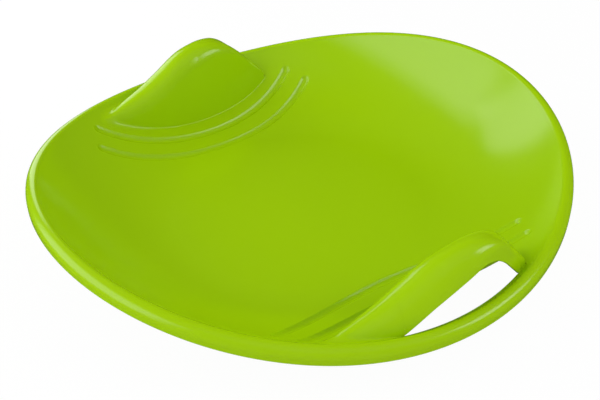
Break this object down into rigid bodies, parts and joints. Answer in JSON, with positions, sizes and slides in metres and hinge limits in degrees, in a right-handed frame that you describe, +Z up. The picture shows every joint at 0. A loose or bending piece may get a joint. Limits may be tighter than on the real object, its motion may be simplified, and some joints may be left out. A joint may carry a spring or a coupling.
{
  "type": "saucer sled",
  "caption": "Round moulded saucer sled for sliding on snow: a dish with a rolled rim that dips at the sides and rises at the ends, and bridge handles over hand holes.",
  "frame": {"origin": "middle of the flat underside that the sled rests on", "axes": "+Z up, +Y towards the raised front end, +X towards the right handle"},
  "size_m": [0.6, 0.6, 0.1158],
  "materials": {
    "shell_plastic": "glossy lime green moulded polyethylene"
  },
  "bodies": {
    "root": {"dish": "shell_plastic", "rim": "shell_plastic", "left_handle": "shell_plastic", "right_handle": "shell_plastic"}
  },
  "joints": []
}
